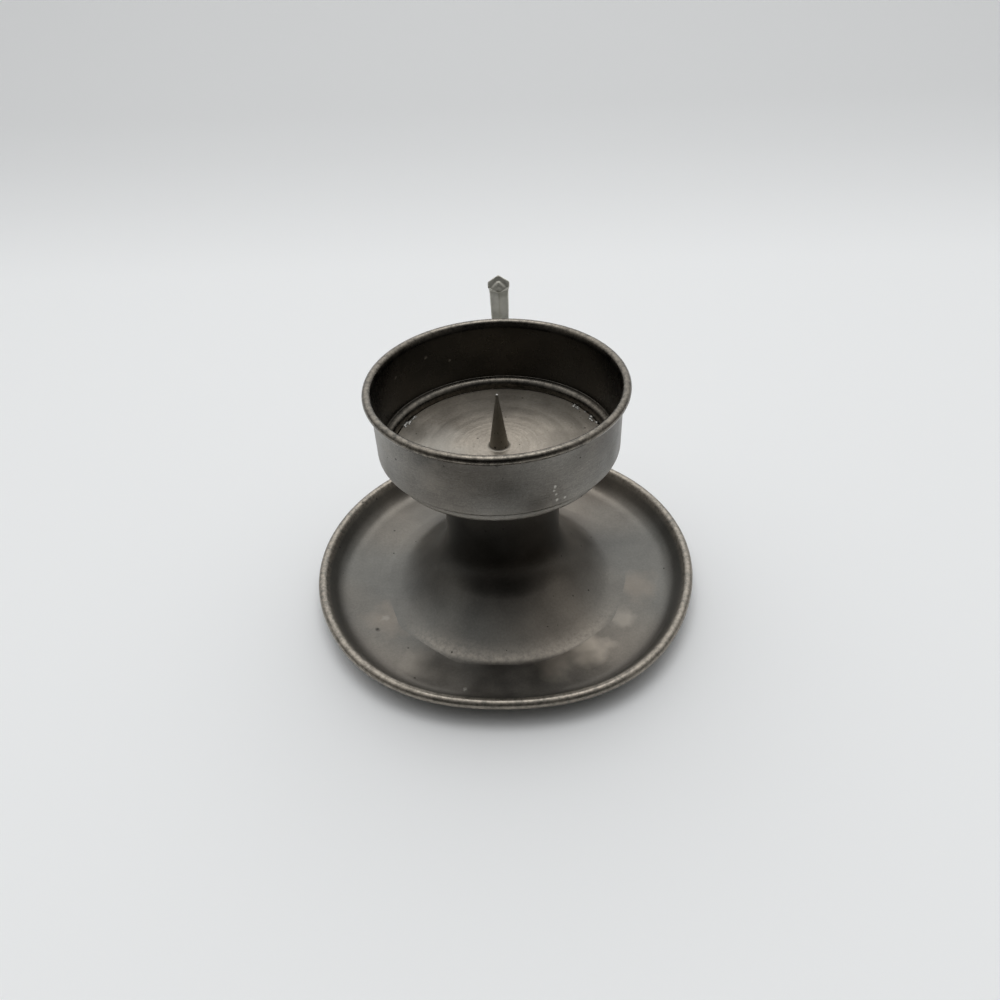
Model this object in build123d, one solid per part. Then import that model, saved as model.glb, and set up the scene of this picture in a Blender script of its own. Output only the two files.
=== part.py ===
"""Pewter chamberstick: a drip dish, a hollow trumpet stem, a spiked candle cup and a finger loop.

The origin is the centre of the dish on the surface that it stands on. +Z is up and the finger
loop is on the +Y side. All lengths are in millimetres, all angles in degrees.
"""

from build123d import *
from collections import namedtuple
from math import cos, radians, sin, tan
import os

# Drip dish, spun from sheet, with its edge rolled over a wire
dish_radius = 65.0
dish_sheet = 1.1
dish_rim_height = 8.0
dish_bead_radius = 1.6
dish_lip_bend = 7.0
dish_lip_angle = 62.0
dish_roll_angle = 285.0
stem_seat_width = 6.8

# Trumpet stem, spun from sheet, filed flat where it sits on the dish
stem_sheet = 1.1
stem_top_radius = 18.6
stem_foot_radius = 42.4
stem_shoulder_bend = 3.0
stem_lean_angle = 1.0
stem_skirt_slope = 19.0
stem_flare_share = 1.0

# Solder run into the corner between the dish and the inside of the stem's foot
solder_width = 2.6

# Candle cup, spun from sheet, with a stepped bottom and its edge rolled over a wire
cup_base_height = 54.6
cup_sheet = 0.9
cup_wall_radius = 37.65
cup_rim_radius = 39.8
cup_rim_height = 79.4
cup_bead_radius = 1.35
cup_roll_angle = 290.0
cup_flare_angle = 16.0
cup_flare_bend = 1.4
well_radius = 33.9
well_depth = 1.9
well_corner_bend = 0.7
ledge_slope = 6.0
ledge_inner_bend = 1.7
ledge_outer_bend = 0.2

# Wires inside the two rolled edges
wire_clearance = 0.03

# Plate on the floor of the cup
plate_thickness = 1.2
plate_clearance = 0.15
plate_edge_chamfer = 0.25

# Spike with the threaded tail that clamps the cup to the stem
spike_height = 18.9
spike_base_radius = 3.75
spike_foot_fillet = 0.8
spike_tip_radius = 0.35
tail_radius = 2.5
tail_overrun = 1.6
tail_chamfer = 0.5
hole_clearance = 0.2

# Washer and hexagon nut inside the top of the stem
washer_radius = 6.0
washer_thickness = 1.0
nut_sides = 6
nut_across_flats = 8.0
nut_height = 4.0
nut_chamfer = 0.4

# Finger loop, one casting of six-sided section with a ridge along its inner and outer faces
grip_width = 6.1
grip_depth = 4.4
neck_width = 6.5
grip_ridge = 1.1
grip_back_margin = 3.3
grip_middle_share = 0.5
grip_foot_angle = 33.0
limb_width = 5.4
limb_depth_share = 0.21
limb_ridge_share = 0.275
limb_height_share = 0.36
limb_join_share = 0.62
thumb_width = 7.5
thumb_depth = 6.2
thumb_ridge = 2.25
thumb_rise = 6.8
thumb_set_in = 1.8
thumb_curl_radius = 3.5
thumb_curl_angle = 90.0
thumb_lean_angle = 12.0
thumb_tip_width = 7.3
thumb_tip_depth = 6.1
thumb_tip_ridge = 2.2
foot_pad_width = 9.5
foot_pad_depth = 6.8
foot_pad_rise = 8.0
wall_pad_width = 8.5
wall_pad_depth_share = 0.42
wall_pad_reach = 6.0
grip_station_shares = (0.3, 0.45, 0.6, 0.74, 0.85)
neck_station_shares = (0.94, 1.0)
thumb_station_shares = (0.35, 0.6, 0.85)
limb_station_shares = (0.5, 0.75, 1.0)

# Length by which cutting shapes pass the face that they cut
overrun = 5.0

Run = namedtuple("Run", "length")
Bend = namedtuple("Bend", "radius angle")


def bent_edges(start, heading, steps, side):
    """Straight runs and tangent bends in a row, moved by side to the left of their path."""
    spot = Vector(*start) + Vector(0, side).rotate(Axis.Z, heading)
    edges = []
    for step in steps:
        ahead = Vector(1, 0).rotate(Axis.Z, heading)
        if isinstance(step, Run):
            edge = Line(spot, spot + ahead * step.length)
        else:
            turn = 1 if step.angle > 0 else -1
            edge = JernArc(spot, ahead, step.radius - turn * side, step.angle)
            heading += step.angle
        edges.append(edge)
        spot = edge @ 1
    return edges


def sheet_section(start, heading, steps, sheet):
    """Face of a bent sheet, whose right-hand face follows the steps from start."""
    right = bent_edges(start, heading, steps, 0)
    left = bent_edges(start, heading, steps, sheet)
    ends = [Line(right[0] @ 0, left[0] @ 0), Line(right[-1] @ 1, left[-1] @ 1)]
    return make_face(right + left + ends)


def spun(section):
    """Section in radius and height, turned about the vertical axis."""
    return revolve(Plane.XZ * section, Axis.Z)


def ring(outer, inner, low, high):
    """Flat ring about the vertical axis between two heights."""
    width = outer - inner
    return spun(Pos((outer + inner) / 2, (low + high) / 2) * Rectangle(width, high - low))


def torus(radius, height, minor_radius):
    """Round wire bent to a ring about the vertical axis."""
    return Pos(0, 0, height) * Torus(radius, minor_radius)


# Heights and radii that several pieces share
tail_hole_radius = tail_radius + hole_clearance
dish_bead_centre = dish_radius - dish_bead_radius
cup_bead_centre = cup_rim_radius - cup_bead_radius
plate_top = cup_base_height + cup_sheet + plate_thickness
stem_ceiling = cup_base_height - stem_sheet
washer_bottom = stem_ceiling - washer_thickness
nut_bottom = washer_bottom - nut_height

# Lip of the dish, worked back from the rolled edge to where the flat floor ends
lip_sine = sin(radians(dish_lip_angle))
lip_cosine = cos(radians(dish_lip_angle))
lip_bend_rise = dish_lip_bend * (1 - lip_cosine)
lip_run = (dish_rim_height + dish_bead_radius * lip_cosine - lip_bend_rise - dish_sheet) / lip_sine
dish_floor_radius = (
    dish_bead_centre - (dish_bead_radius + dish_lip_bend) * lip_sine - lip_run * lip_cosine
)
dish_hole_radius = stem_foot_radius - stem_seat_width

# Wall of the cup above the stepped bottom
ledge_turn = 90 - ledge_slope
ledge_radii = ledge_inner_bend + ledge_outer_bend + cup_sheet
ledge_bend_width = ledge_radii * (1 - cos(radians(ledge_turn)))
ledge_width = cup_wall_radius - cup_sheet - well_radius
ledge_run = (ledge_width - ledge_bend_width) / cos(radians(ledge_slope))
ledge_rise = ledge_radii * sin(radians(ledge_turn)) + ledge_run * sin(radians(ledge_slope))
ledge_bottom = cup_base_height + cup_sheet + well_depth
ledge_top = ledge_bottom + ledge_rise
cup_wall_height = cup_rim_height - ledge_top


def base_dish():
    steps = [
        Run(dish_floor_radius - dish_hole_radius),
        Bend(dish_lip_bend + dish_sheet, dish_lip_angle),
        Run(lip_run),
        Bend(dish_bead_radius - dish_sheet, -dish_roll_angle),
    ]
    return spun(sheet_section((dish_hole_radius, 0), 0, steps, dish_sheet))


def dish_rim_wire():
    return torus(dish_bead_centre, dish_rim_height, dish_bead_radius - dish_sheet - wire_clearance)


def trumpet_stem():
    """Flat top, shoulder, leaning column, flare and skirt, cut level with the floor of the dish."""
    column_turn = 90 - stem_lean_angle
    flare_turn = column_turn - stem_skirt_slope
    flare_bend = stem_flare_share * (stem_foot_radius - stem_top_radius)
    shoulder_bend = stem_shoulder_bend - stem_sheet
    shoulder_width = stem_shoulder_bend * sin(radians(column_turn))
    shoulder_drop = stem_shoulder_bend * (1 - cos(radians(column_turn)))
    flare_width = flare_bend * (sin(radians(column_turn)) - sin(radians(stem_skirt_slope)))
    flare_drop = flare_bend * (cos(radians(stem_skirt_slope)) - cos(radians(column_turn)))
    # The column and the skirt share the width and the height that the bends leave
    width_left = stem_foot_radius - stem_top_radius - flare_width
    drop_left = cup_base_height - dish_sheet - shoulder_drop - flare_drop
    lean_sine, lean_cosine = sin(radians(stem_lean_angle)), cos(radians(stem_lean_angle))
    skirt_sine, skirt_cosine = sin(radians(stem_skirt_slope)), cos(radians(stem_skirt_slope))
    share = lean_cosine * skirt_cosine - lean_sine * skirt_sine
    column_run = (drop_left * skirt_cosine - width_left * skirt_sine) / share
    skirt_run = (width_left * lean_cosine - drop_left * lean_sine) / share
    steps = [
        Run(stem_top_radius - shoulder_width - tail_hole_radius),
        Bend(shoulder_bend, -column_turn),
        Run(column_run),
        Bend(flare_bend + stem_sheet, flare_turn),
        Run(skirt_run + overrun),
    ]
    sheet = sheet_section((tail_hole_radius, stem_ceiling), 0, steps, stem_sheet)
    below = Pos(stem_foot_radius, dish_sheet - overrun) * Rectangle(2 * stem_foot_radius, 2 * overrun)
    return spun(sheet - below)


def stem_solder():
    """Wedge of solder that fills the corner under the inside of the skirt."""
    corner = stem_foot_radius - stem_sheet / sin(radians(stem_skirt_slope))
    inner = corner - solder_width
    rise = solder_width * tan(radians(stem_skirt_slope))
    corners = [(corner, dish_sheet), (inner, dish_sheet), (inner, dish_sheet + rise)]
    return spun(make_face(Polyline(*corners, close=True)))


def candle_cup():
    """Flat bottom, side of the well, sloping ledge, wall, slight flare and rolled edge."""
    flare_sine, flare_cosine = sin(radians(cup_flare_angle)), cos(radians(cup_flare_angle))
    roll_bend = cup_bead_radius - cup_sheet
    flare_width = cup_bead_centre - roll_bend * flare_cosine - cup_wall_radius
    flare_run = (flare_width - cup_flare_bend * (1 - flare_cosine)) / flare_sine
    flare_rise = cup_flare_bend * flare_sine + flare_run * flare_cosine - roll_bend * flare_sine
    corner = well_corner_bend + cup_sheet
    steps = [
        Run(well_radius + cup_sheet - corner - tail_hole_radius),
        Bend(corner, 90),
        Run(ledge_bottom - cup_base_height - corner),
        Bend(ledge_inner_bend, -ledge_turn),
        Run(ledge_run),
        Bend(ledge_outer_bend + cup_sheet, ledge_turn),
        Run(cup_rim_height - ledge_top - flare_rise),
        Bend(cup_flare_bend, -cup_flare_angle),
        Run(flare_run),
        Bend(roll_bend, -cup_roll_angle),
    ]
    return spun(sheet_section((tail_hole_radius, cup_base_height), 0, steps, cup_sheet))


def cup_rim_wire():
    return torus(cup_bead_centre, cup_rim_height, cup_bead_radius - cup_sheet - wire_clearance)


def cup_floor_plate():
    """Plate on the flat bottom of the cup, with its lower edge cut back round the corner of the well."""
    plate = ring(well_radius - plate_clearance, tail_hole_radius, cup_base_height + cup_sheet, plate_top)
    rims = plate.edges().filter_by(GeomType.CIRCLE).group_by(SortBy.RADIUS)[-1].sort_by(Axis.Z)
    plate = chamfer(rims[0], well_corner_bend)
    rims = plate.edges().filter_by(GeomType.CIRCLE).group_by(SortBy.RADIUS)[-1].sort_by(Axis.Z)
    return chamfer(rims[-1], plate_edge_chamfer)


def candle_spike():
    """Slender cone with a rounded point and a small fillet at its foot, on a threaded tail."""
    foot_height = plate_top + spike_foot_fillet
    foot_radius = spike_base_radius - spike_foot_fillet
    tip_height = plate_top + spike_height
    tail_bottom = nut_bottom - tail_overrun
    outline = [
        Line((0, tail_bottom), (tail_radius - tail_chamfer, tail_bottom)),
        Line((tail_radius - tail_chamfer, tail_bottom), (tail_radius, tail_bottom + tail_chamfer)),
        Line((tail_radius, tail_bottom + tail_chamfer), (tail_radius, plate_top)),
        Line((tail_radius, plate_top), (spike_base_radius, plate_top)),
        RadiusArc((spike_base_radius, plate_top), (foot_radius, foot_height), spike_foot_fillet),
        Line((foot_radius, foot_height), (spike_tip_radius, tip_height - spike_tip_radius)),
        RadiusArc((spike_tip_radius, tip_height - spike_tip_radius), (0, tip_height), -spike_tip_radius),
        Line((0, tip_height), (0, tail_bottom)),
    ]
    return spun(make_face(outline))


def spike_washer():
    return ring(washer_radius, tail_hole_radius, washer_bottom, stem_ceiling)


def spike_nut():
    """Hexagon nut with its lower corners turned off."""
    blank = extrude(RegularPolygon(nut_across_flats / 2, nut_sides, major_radius=False), nut_height)
    corner_radius = nut_across_flats / (2 * cos(radians(180 / nut_sides)))
    turned = Cylinder(corner_radius, nut_height, align=(Align.CENTER, Align.CENTER, Align.MIN))
    turned = chamfer(turned.edges().group_by(Axis.Z)[0], nut_chamfer)
    bore = Cylinder(tail_hole_radius, nut_height, align=(Align.CENTER, Align.CENTER, Align.MIN))
    return Pos(0, 0, nut_bottom) * ((blank & turned) - bore)


def ridged_section(spot, ahead, width, depth, ridge):
    """Six-sided section of the casting, square to the way ahead, with ridges at its two faces."""
    half_width, half_depth = width / 2, depth / 2
    edge_depth = half_depth - ridge
    corners = [
        (0, half_depth),
        (half_width, edge_depth),
        (half_width, -edge_depth),
        (0, -half_depth),
        (-half_width, -edge_depth),
        (-half_width, edge_depth),
    ]
    plane = Plane(origin=spot, x_dir=(1, 0, 0), z_dir=ahead)
    return plane * make_face(Polyline(*corners, close=True))


def upright(y, z):
    """Point or direction in the plane of the finger loop."""
    return Vector(0, y, z)


def casting(stations):
    """Smooth casting through ridged sections, given as path, share of it, width, depth and ridge."""
    sections = []
    for path, share, width, depth, ridge in stations:
        sections.append(ridged_section(path @ share, path % share, width, depth, ridge))
    return loft(sections)


def grip_path():
    """Line of the grip, slanting up through the floor of the dish and leaning in at its top."""
    back = dish_radius - grip_back_margin
    slant = upright(sin(radians(grip_foot_angle)), cos(radians(grip_foot_angle)))
    lean = upright(-sin(radians(thumb_lean_angle)), cos(radians(thumb_lean_angle)))
    crown = cup_rim_height + cup_bead_radius + thumb_rise
    foot = upright((stem_foot_radius + dish_floor_radius) / 2, dish_sheet)
    neck_height = crown - thumb_depth / 2 - thumb_curl_radius * (1 + lean.Y)
    middle = upright(back, dish_sheet + grip_middle_share * (neck_height - dish_sheet))
    neck = upright(back - thumb_set_in, neck_height)
    return Spline(foot - slant * grip_depth, middle, neck, tangents=[slant, lean])


def curl_path(grip):
    """Arc on which the top of the grip turns over towards the cup."""
    side_view = Plane(origin=(0, 0, 0), x_dir=(0, 1, 0), z_dir=(1, 0, 0))
    neck, ahead = grip @ 1, grip % 1
    return side_view * JernArc((neck.Y, neck.Z), (ahead.Y, ahead.Z), thumb_curl_radius, thumb_curl_angle)


def limb_path(grip):
    """Line of the limb from inside the wall of the cup, level at first, down into the grip."""
    height = ledge_top + limb_height_share * cup_wall_height
    root = upright(cup_wall_radius - cup_sheet, height)
    return Spline(root, grip @ limb_join_share, tangents=[(0, 1, 0), -(grip % limb_join_share)])


def finger_loop():
    """Grip from the dish up to the curled thumb piece, and the limb that ties it to the cup."""
    grip = grip_path()
    curl = curl_path(grip)
    limb = limb_path(grip)
    pad_share = (grip_depth + foot_pad_rise) / grip.length
    grip_section = (grip_width, grip_depth, grip_ridge)
    thumb_section = (thumb_width, thumb_depth, thumb_ridge)
    grip_stations = [
        (grip, 0, foot_pad_width, foot_pad_depth, grip_ridge),
        (grip, grip_depth / grip.length, foot_pad_width, foot_pad_depth, grip_ridge),
        (grip, pad_share, *grip_section),
    ]
    for share in grip_station_shares:
        grip_stations.append((grip, share, *grip_section))
    for share in neck_station_shares:
        grip_stations.append((grip, share, neck_width, grip_depth, grip_ridge))
    for share in thumb_station_shares:
        grip_stations.append((curl, share, *thumb_section))
    grip_stations.append((curl, 1, thumb_tip_width, thumb_tip_depth, thumb_tip_ridge))
    reach_share = (cup_sheet + wall_pad_reach) / limb.length
    limb_depth = limb_depth_share * cup_wall_height
    limb_ridge = limb_ridge_share * limb_depth
    limb_section = (limb_width, limb_depth, limb_ridge)
    limb_stations = [
        (limb, 0, wall_pad_width, wall_pad_depth_share * cup_wall_height, limb_ridge),
        (limb, reach_share, *limb_section),
    ]
    for share in limb_station_shares:
        limb_stations.append((limb, share, *limb_section))
    below_floor = Pos(0, 0, dish_sheet - dish_rim_height) * Cylinder(dish_radius, 2 * dish_rim_height)
    inside_cup = Pos(0, 0, cup_rim_height / 2) * Cylinder(cup_wall_radius, cup_rim_height)
    return (casting(grip_stations) - below_floor) + (casting(limb_stations) - inside_cup)


pieces = {
    "base_dish": base_dish,
    "dish_rim_wire": dish_rim_wire,
    "trumpet_stem": trumpet_stem,
    "stem_solder": stem_solder,
    "candle_cup": candle_cup,
    "cup_rim_wire": cup_rim_wire,
    "cup_floor_plate": cup_floor_plate,
    "candle_spike": candle_spike,
    "spike_washer": spike_washer,
    "spike_nut": spike_nut,
    "finger_loop": finger_loop,
}

os.makedirs("parts", exist_ok=True)
for name, make in pieces.items():
    export_step(make(), f"parts/{name}.step")
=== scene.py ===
"""Aged pewter chamberstick on pale paper: drip dish, trumpet stem, spiked candle cup, finger loop.

Lengths are written in millimetres and angles in degrees. MM turns a length into metres.
"""

from collections import namedtuple
from math import acos, atan2, ceil, cos, degrees, exp, hypot, pi, radians, sin
from random import Random

import bmesh
import bpy
from mathutils import Matrix, Vector, geometry, noise


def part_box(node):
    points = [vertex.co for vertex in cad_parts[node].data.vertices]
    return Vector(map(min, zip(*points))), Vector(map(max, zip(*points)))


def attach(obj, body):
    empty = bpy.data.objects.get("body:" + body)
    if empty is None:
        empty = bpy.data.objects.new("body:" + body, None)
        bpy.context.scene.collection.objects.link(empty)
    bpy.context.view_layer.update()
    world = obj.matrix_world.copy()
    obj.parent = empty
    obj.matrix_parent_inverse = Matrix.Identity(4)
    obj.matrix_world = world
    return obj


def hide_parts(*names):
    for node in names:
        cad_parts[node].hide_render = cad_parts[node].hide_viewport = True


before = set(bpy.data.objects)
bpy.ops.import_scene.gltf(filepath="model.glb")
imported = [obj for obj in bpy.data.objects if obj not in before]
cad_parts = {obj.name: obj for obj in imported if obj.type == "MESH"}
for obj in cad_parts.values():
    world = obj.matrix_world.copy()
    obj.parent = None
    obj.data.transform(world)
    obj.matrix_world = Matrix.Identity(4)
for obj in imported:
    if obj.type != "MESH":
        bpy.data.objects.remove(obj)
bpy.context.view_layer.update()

MM = 0.001
BEND_STEP = 9
SHARP_ANGLE = 38
MERGE_GAP = 0.0001


def node_box(node):
    """Lowest and highest corners of a CAD node, in millimetres."""
    low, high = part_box(node)
    return low / MM, high / MM


cup_low, cup_high = node_box("candle_cup")
plate_low, plate_high = node_box("cup_floor_plate")
spike_low, spike_high = node_box("candle_spike")

# Drip dish, a hair smaller than its CAD node
DISH_INSET = 0.02
DISH_RADIUS = node_box("base_dish")[1].x - DISH_INSET
DISH_SHEET = 1.1
DISH_RIM_HEIGHT = 8.0
DISH_BEAD = 1.6
DISH_BEAD_CENTRE = DISH_RADIUS - DISH_BEAD
DISH_LIP_BEND = 7.0
DISH_LIP_ANGLE = 62.0
DISH_ROLL_ANGLE = 285.0
DISH_HOLE = 35.6
DISH_AROUND = 200
RIM_WIRE_CLEARANCE = 0.02

# Trumpet stem, from its top to its hem
STEM_SHEET = 1.1
STEM_TOP_RADIUS = 18.6
STEM_SHOULDER = 3.0
STEM_LEAN = 1.0
STEM_FLARE_BEND = 16.5
STEM_FLARE_SLOPE = 42.0
STEM_SKIRT_BEND = 63.6
STEM_SKIRT_SLOPE = 30.0
STEM_HEM_BEND = 52.0
STEM_HEM_SLOPE = 24.0
STEM_EDGE_BEND = 9.5
STEM_EDGE_SLOPE = 2.0
STEM_AROUND = 180

# Candle cup
CUP_BASE = cup_low.z
CUP_SHEET = 0.9
CUP_WALL_RADIUS = 37.65
CUP_BEAD = 1.35
CUP_RIM_RADIUS = cup_high.x
CUP_RIM_HEIGHT = cup_high.z - CUP_BEAD
CUP_ROLL_ANGLE = 290.0
CUP_FLARE_ANGLE = 16.0
CUP_FLARE_BEND = 1.4
CUP_AROUND = 180
WELL_RADIUS = 33.9
WELL_DEPTH = 1.9
WELL_CORNER = 0.7
LEDGE_SLOPE = 6.0
LEDGE_INNER_BEND = 1.7
LEDGE_OUTER_BEND = 0.2

# Plate and spike
PLATE_RADIUS = plate_high.x
PLATE_TOP = plate_high.z
PLATE_THICKNESS = PLATE_TOP - plate_low.z
PLATE_EDGE_BEND = 0.25
PLATE_AROUND = 160
SPIKE_TOP = spike_high.z
SPIKE_BASE = 3.75
SPIKE_FILLET = 0.8
SPIKE_TIP = 0.35
SPIKE_TIP_HEADING = 95
SPIKE_AROUND = 64
TAIL_RADIUS = 2.5
TAIL_HOLE = 2.7
TAIL_BOTTOM = spike_low.z
TAIL_CHAMFER = 0.5
THREAD_TURNS = 12
THREAD_PITCH = 0.8
THREAD_SLOPE = 30

Run = namedtuple("Run", "length pieces rub", defaults=(1, 0.0))
Bend = namedtuple("Bend", "radius angle rub", defaults=(0.0,))


class SectionPen:
    """Draws a section in radius and height as a chain of edges, by runs and tangent bends."""

    def __init__(self, radius, height):
        self.mesh = bmesh.new()
        self.rub_layer = self.mesh.verts.layers.float.new("rub")
        self.brush_layer = self.mesh.verts.layers.float.new("brush")
        self.tip = self.mesh.verts.new((radius * MM, 0, height * MM))
        self.first = self.tip
        self.heading = 0
        self.brush = 0.0

    def ahead(self, turn=0):
        angle = radians(self.heading + turn)
        return Vector((cos(angle), 0, sin(angle)))

    def stamp(self, count, rub):
        """Writes the rub and brush shares on the points drawn since there were count of them."""
        self.mesh.verts.ensure_lookup_table()
        for vert in self.mesh.verts[count:]:
            vert[self.rub_layer] = rub
            vert[self.brush_layer] = self.brush

    def run(self, length, pieces=1, rub=0.0):
        count = len(self.mesh.verts)
        for _ in range(pieces):
            self.tip = bmesh.ops.extrude_vert_indiv(self.mesh, verts=[self.tip])["verts"][0]
            step = self.ahead() * (length / pieces * MM)
            bmesh.ops.translate(self.mesh, verts=[self.tip], vec=step)
        self.stamp(count, rub)

    def bend(self, radius, angle, rub=0.0):
        count = len(self.mesh.verts)
        side = 90 if angle > 0 else -90
        centre = self.tip.co + self.ahead(side) * radius * MM
        steps = max(2, ceil(abs(angle) / BEND_STEP))
        made = bmesh.ops.spin(
            self.mesh, geom=[self.tip], cent=centre, axis=(0, -1, 0), angle=radians(angle), steps=steps
        )
        self.tip = made["geom_last"][0]
        self.heading += angle
        self.stamp(count, rub)

    def follow(self, steps):
        for step in steps:
            if isinstance(step, Run):
                self.run(*step)
            else:
                self.bend(*step)

    def close(self):
        self.mesh.edges.new((self.tip, self.first))


def sheet_section(start, steps, sheet, right_brush=0.0):
    """Section of a bent sheet: out along its right-hand face and back along the other."""
    pen = SectionPen(*start)
    pen.brush = right_brush
    pen.follow(steps)
    pen.heading += 90
    pen.run(sheet)
    pen.heading += 90
    pen.brush = 0.0
    back = []
    for step in reversed(steps):
        if isinstance(step, Bend):
            side = 1 if step.angle > 0 else -1
            step = step._replace(radius=step.radius - side * sheet, angle=-step.angle)
        back.append(step)
    pen.follow(back)
    pen.close()
    return pen.mesh


def merge_doubles(mesh):
    bmesh.ops.remove_doubles(mesh, verts=mesh.verts[:], dist=MERGE_GAP * MM)


def spin_round(mesh, around):
    """Turns a section once about the upright axis into a closed skin."""
    geom = mesh.verts[:] + mesh.edges[:]
    bmesh.ops.spin(
        mesh, geom=geom, cent=(0, 0, 0), axis=(0, 0, 1), angle=2 * pi, steps=around, use_merge=True
    )
    merge_doubles(mesh)
    bmesh.ops.recalc_face_normals(mesh, faces=mesh.faces[:])


def shade_smooth(mesh):
    for face in mesh.faces:
        face.smooth = True


def soften(mesh):
    """Smooth shading, with the true corners kept crisp."""
    shade_smooth(mesh)
    for edge in mesh.edges:
        edge.smooth = edge.calc_face_angle(0) < radians(SHARP_ANGLE)


def new_object(mesh, name):
    """Object made from a finished mesh, which is then freed."""
    data = bpy.data.meshes.new(name)
    mesh.to_mesh(data)
    mesh.free()
    made = bpy.data.objects.new(name, data)
    bpy.context.scene.collection.objects.link(made)
    return made


def add_piece(mesh, name, material, node=None):
    """Piece of the object, riding on the one body and standing for its node."""
    piece = new_object(mesh, name)
    piece.data.materials.append(material)
    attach(piece, "root")
    if node:
        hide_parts(node)


def polar(co):
    """Radius in millimetres and bearing in degrees of a point about the axis."""
    return hypot(co.x, co.y) / MM, degrees(atan2(co.y, co.x))


def grow(vert, radius, shift):
    """Moves a point outwards from the axis."""
    grown = 1 + shift / radius
    vert.co.x *= grown
    vert.co.y *= grown


def bearing_gap(one, other):
    return abs((one - other + 180) % 360 - 180)


def smooth_step(low, high, value):
    share = min(1.0, max(0.0, (value - low) / (high - low)))
    return share * share * (3 - 2 * share)


# Node tools

def add(tree, kind, *values, **settings):
    """New node with its settings; values fill its inputs in order, as numbers or as links."""
    node = tree.nodes.new("ShaderNode" + kind)
    for name, value in settings.items():
        setattr(node, name, value)
    for index, value in enumerate(values):
        plug(tree, node, index, value)
    return node


def plug(tree, node, socket, value):
    """Sets an input of a node, or joins it to an output."""
    if isinstance(value, bpy.types.NodeSocket):
        tree.links.new(value, node.inputs[socket])
    else:
        node.inputs[socket].default_value = value


def maths(tree, operation, *values, clamp=False):
    return add(tree, "Math", *values, operation=operation, use_clamp=clamp).outputs[0]


def vector_maths(tree, operation, *values):
    return add(tree, "VectorMath", *values, operation=operation).outputs[0]


def scaled_vector(tree, vector, scale):
    node = add(tree, "VectorMath", vector, operation="SCALE")
    plug(tree, node, "Scale", scale)
    return node.outputs[0]


def blend_colours(tree, share, first, second, blend_type="MIX"):
    node = add(tree, "Mix", data_type="RGBA", blend_type=blend_type)
    plug(tree, node, 0, share)
    plug(tree, node, 6, first)
    plug(tree, node, 7, second)
    return node.outputs[2]


def blend_values(tree, share, first, second):
    node = add(tree, "Mix", share, data_type="FLOAT")
    plug(tree, node, 2, first)
    plug(tree, node, 3, second)
    return node.outputs[0]


def rescale(tree, value, low, high, to_low=0.0, to_high=1.0):
    return add(tree, "MapRange", value, low, high, to_low, to_high, clamp=True).outputs[0]


def noise_node(tree, vector, scale, detail=2.0, roughness=0.5):
    node = add(tree, "TexNoise")
    plug(tree, node, "Vector", vector)
    plug(tree, node, "Scale", scale)
    plug(tree, node, "Detail", detail)
    plug(tree, node, "Roughness", roughness)
    return node


def cloud_noise(tree, vector, scale, **settings):
    return noise_node(tree, vector, scale, **settings).outputs[0]


def effect_group(name, inputs, outputs):
    """Empty shader node group with the named sockets; gives back its tree and its two end nodes."""
    tree = bpy.data.node_groups.new(name, "ShaderNodeTree")
    for label, kind in inputs:
        tree.interface.new_socket(label, in_out="INPUT", socket_type="NodeSocket" + kind)
    for label, kind in outputs:
        tree.interface.new_socket(label, in_out="OUTPUT", socket_type="NodeSocket" + kind)
    return tree, tree.nodes.new("NodeGroupInput"), tree.nodes.new("NodeGroupOutput")


def use_group(tree, group, **values):
    node = tree.nodes.new("ShaderNodeGroup")
    node.node_tree = group
    for name, value in values.items():
        plug(tree, node, name, value)
    return node


# Effects that several finishes share

def turning_marks():
    """Fine rings left by the lathe: they run round the axis on floors and walls alike."""
    tree, ins, outs = effect_group(
        "turning_marks", [("Vector", "Vector"), ("Density", "Float")], [("Lines", "Float")]
    )
    place = ins.outputs["Vector"]
    axes = add(tree, "SeparateXYZ", place)
    across = maths(tree, "MULTIPLY", axes.outputs[0], axes.outputs[0])
    along = maths(tree, "MULTIPLY", axes.outputs[1], axes.outputs[1])
    radius = maths(tree, "SQRT", maths(tree, "ADD", across, along))
    drift = maths(tree, "MULTIPLY", cloud_noise(tree, place, 70.0), 0.0007)
    fade = maths(tree, "MULTIPLY", cloud_noise(tree, place, 160.0, detail=3.0), 0.02)
    spot = add(tree, "CombineXYZ", maths(tree, "ADD", radius, drift), fade, axes.outputs[2])
    scaled = scaled_vector(tree, spot.outputs[0], ins.outputs["Density"])
    lines = cloud_noise(tree, scaled, 1.0, detail=3.0, roughness=0.7)
    tree.links.new(rescale(tree, lines, 0.3, 0.7), outs.inputs["Lines"])
    return tree


def tarnish():
    """Uneven skin of old pewter: broad soft clouds, small mottling and fine grain."""
    tree, ins, outs = effect_group(
        "tarnish",
        [("Vector", "Vector"), ("Cloud Scale", "Float")],
        [("Cloud", "Float"), ("Stain", "Float"), ("Mottle", "Float"), ("Grain", "Float")],
    )
    place = ins.outputs["Vector"]
    scale = ins.outputs["Cloud Scale"]
    shifted = vector_maths(tree, "ADD", place, (0.37, 0.11, 0.23))
    cloud = cloud_noise(tree, place, scale, roughness=0.45)
    stain = cloud_noise(tree, shifted, scale, roughness=0.4)
    mottle = cloud_noise(tree, shifted, maths(tree, "MULTIPLY", scale, 5.0), detail=3.0)
    grain = cloud_noise(tree, place, maths(tree, "MULTIPLY", scale, 60.0), detail=3.0, roughness=0.7)
    tree.links.new(rescale(tree, cloud, 0.34, 0.66), outs.inputs["Cloud"])
    tree.links.new(rescale(tree, stain, 0.36, 0.70), outs.inputs["Stain"])
    tree.links.new(rescale(tree, mottle, 0.3, 0.7), outs.inputs["Mottle"])
    tree.links.new(rescale(tree, grain, 0.3, 0.7), outs.inputs["Grain"])
    return tree


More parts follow.
